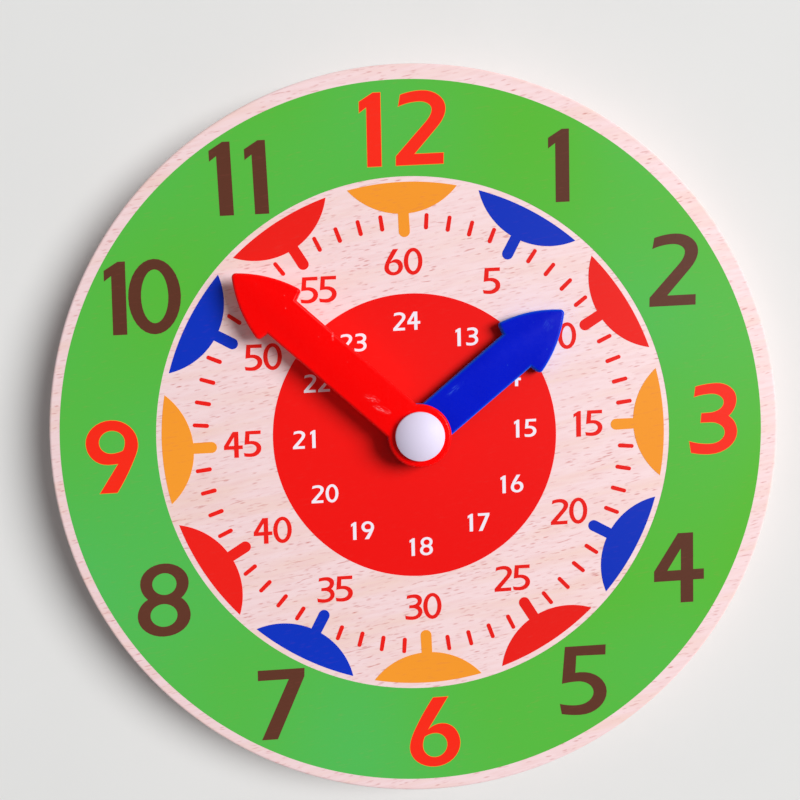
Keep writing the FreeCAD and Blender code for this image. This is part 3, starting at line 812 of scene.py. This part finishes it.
def glossy_finish(name, top, pale, deep, edge, scuff_and_sheen, rubs_and_sheen):
    """Glossy plastic with a painted glow at its front edge, specks, and scuffs where it was rubbed,
    partly painted sheen.
    """
    finish = Finish(name, roughness=0.26, specular=0.08)
    body = finish.mixed(finish.ramp(finish.noise((12, 12, 12), 2.0), 0.3, 0.7), pale, deep)
    # Painted glow: the rounded front edge and the sides below it take the lighter edge colour, as if
    # light shone through the plastic there.
    body = finish.mixed(finish.ramp(finish.height(), top, top - front_edge_radius), body, edge)
    # Each rub is scratched and paler, and its paler colour is partly painted sheen: light reflected off
    # the shaft painted into the colour.
    for middle, length, width, turn, strength in rubs_and_sheen:
        hairs = finish.ramp(finish.noise((0.9, 0.13, 0.5), 3.0, turn), 0.5, 0.68)
        rub_and_sheen = finish.product(hairs, finish.spot(middle, length, width, turn))
        body = finish.mixed(finish.ramp(rub_and_sheen, 0.0, 1.0, 0.0, strength), body, scuff_and_sheen)
    distance, own_value = finish.cells((2.6, 2.6, 2.6))
    specks = finish.product(finish.ramp(distance, 0.04, 0.015), finish.ramp(own_value, 0.7, 0.9))
    finish.colour(finish.mixed(finish.ramp(specks, 0.0, 1.0, 0.0, 0.6), body, scuff_and_sheen))
    finish.roughness(finish.ramp(finish.noise((1.5, 1.5, 1.5), 3.0), 0.3, 0.7, 0.22, 0.32))
    finish.bump(finish.noise((3, 3, 3), 2.0), 0.008)
    return finish.material


# Each rub is its middle, length and width in millimetres, its turn in degrees and its strength. The rubs
# on the shafts are scuffs with a painted sheen, and the last blue one, at the tip, is a painted
# reflection.
red_rubs_and_sheen = (((-8.9, 7.8), 3.6, 1.5, -25.0, 0.75), ((-7.0, 5.6), 4.2, 1.3, -27.0, 0.9),
            ((-15.6, 20.0), 0.5, 2.2, 0.0, 0.8), ((-3.0, 2.2), 3.4, 2.0, -30.0, 0.4))
blue_rubs_and_sheen = (((7.4, 8.6), 5.0, 1.2, 36.0, 0.7), ((26.4, 20.2), 3.0, 2.6, 60.0, 0.35))
# The edge colour of each hand is a painted glow; the blue one is far lighter than the blue body.
red_plastic = glossy_finish(
    "red_plastic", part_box("minute_hand")[1].z, pale=(1.0, 0.0, 0.0), deep=(0.96, 0.0, 0.0),
    edge=(1.0, 0.01, 0.01), scuff_and_sheen=(1.0, 0.42, 0.46), rubs_and_sheen=red_rubs_and_sheen)
blue_plastic = glossy_finish(
    "blue_plastic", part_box("hour_hand")[1].z, pale=(0.0, 0.009, 0.60), deep=(0.0, 0.006, 0.54),
    edge=(0.0, 0.20, 1.0), scuff_and_sheen=(0.08, 0.22, 0.90), rubs_and_sheen=blue_rubs_and_sheen)
finished(eased_hand("hour_hand", "hand_blue"), blue_plastic, "blue_plastic", "hour_train", "hour_hand")
finished(eased_hand("minute_hand", "hand_red"), red_plastic, "red_plastic", "minute_train", "minute_hand")


# Centre cap: a glossy white moulded dome with a short straight rim, pushed over the end
# of the arbor. The thin washer between the two hands is of the same white plastic.

cap_low, cap_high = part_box("centre_cap")
cap_radius = cap_high.x
cap_rim = 1.0 * mm
cap_rounding = 0.35 * mm
foot_rounding = 0.15 * mm
arbor_radius = 1.5 * mm
dome_foot = cap_low.z + cap_rim
dome_rise = cap_high.z - cap_low.z - cap_rim
dome_radius = (cap_radius ** 2 + dome_rise ** 2) / (2 * dome_rise)

white_plastic = moulded_finish("white_plastic", (0.78, 0.71, 0.90), (0.76, 0.69, 0.88), 0.48, 0.2, 1.5)
deselect()
bpy.ops.mesh.primitive_uv_sphere_add(
    segments=96, ring_count=128, radius=dome_radius, location=(0, 0, cap_high.z - dome_radius))
cap = bpy.context.object
cap.name = "cap"
bpy.ops.object.transform_apply(location=True, rotation=True, scale=True)
open_with_faces(cap, lambda face: True)
# A coarser threshold would draw the sphere's nearest ring onto the plane.
bpy.ops.mesh.bisect(plane_co=(0, 0, dome_foot), plane_no=(0, 0, 1), clear_inner=True,
                    use_fill=False, threshold=1e-7)
close_edit()
open_with_edges(cap, lambda place: abs(place.z - dome_foot) < same_level)
bpy.ops.mesh.extrude_region_move(TRANSFORM_OT_translate={"value": (0, 0, -cap_rim)})
bpy.ops.mesh.edge_face_add()
close_edit()
arbor_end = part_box("minute_arbor")[1].z
cut_with(cap, disc("cap_socket", arbor_radius, cap_low.z - mm, arbor_end, 48))
round_rim(cap, cap_radius, dome_foot, cap_rounding, 4)
round_rim(cap, cap_radius, cap_low.z, foot_rounding, 2)
smooth(cap, 40.0)
finished(cap, white_plastic, "white_plastic", "minute_train", "centre_cap")
dress(white_plastic, "hand_washer")


# Stage: a plain pale floor under the clock, one soft lamp from the right and even light
# from all round. The camera and reflections see the room brighter than it shines.

floor_size = 4.0
floor_drop = 0.02 * mm
lamp_direction = Vector((0.9, 0.2, 1.0)).normalized()
lamp_distance = 5.0
lamp_size = 2.8
lamp_power = 286.0
room_light = 0.18

deselect()
bpy.ops.mesh.primitive_plane_add(size=floor_size, location=(0, 0, -floor_drop))
floor = bpy.context.object
floor.name = "floor"
paper = Finish("paper", roughness=0.8, specular=0.1)
paper.colour(paper.mixed(paper.noise((30, 30, 30), 3.0), (0.80, 0.80, 0.79), (0.77, 0.77, 0.76)))
floor.data.materials.append(paper.material)

lamp_data = bpy.data.lights.new("lamp", "AREA")
lamp_data.shape = "DISK"
lamp_data.size = lamp_size
lamp_data.energy = lamp_power
lamp = bpy.data.objects.new("lamp", lamp_data)
bpy.context.scene.collection.objects.link(lamp)
lamp.location = lamp_direction * lamp_distance
lamp.rotation_euler = lamp_direction.to_track_quat("Z", "Y").to_euler()

world = bpy.data.worlds.new("room")
bpy.context.scene.world = world
world.use_nodes = True
room = world.node_tree
background = room.nodes["Background"]
background.inputs["Color"].default_value = (1.0, 1.0, 1.0, 1.0)
path = room.nodes.new("ShaderNodeLightPath")
seen = path.outputs["Is Camera Ray"]
for ray in ("Is Glossy Ray", "Is Transmission Ray"):
    either = room.nodes.new("ShaderNodeMath")
    either.operation = "MAXIMUM"
    room.links.new(seen, either.inputs[0])
    room.links.new(path.outputs[ray], either.inputs[1])
    seen = either.outputs[0]
strength = room.nodes.new("ShaderNodeMapRange")
strength.inputs["To Min"].default_value = room_light
strength.inputs["To Max"].default_value = 1.0
room.links.new(seen, strength.inputs["Value"])
room.links.new(strength.outputs["Result"], background.inputs["Strength"])


# Camera: nearly straight above the dial, turned a little, as the photograph was taken.

film_width = 36.0
focal_length = 37.44
camera_place = (-8.51 * mm, 14.94 * mm, 176.56 * mm)
camera_turn = (-2.679, -1.962, -3.122)
nearest_seen = 0.01

camera_data = bpy.data.cameras.new("camera")
camera_data.sensor_width = film_width
camera_data.lens = focal_length
camera_data.clip_start = nearest_seen
camera = bpy.data.objects.new("camera", camera_data)
bpy.context.scene.collection.objects.link(camera)
camera.location = camera_place
camera.rotation_euler = [math.radians(angle) for angle in camera_turn]
bpy.context.scene.camera = camera
bpy.context.scene.view_settings.view_transform = "Standard"
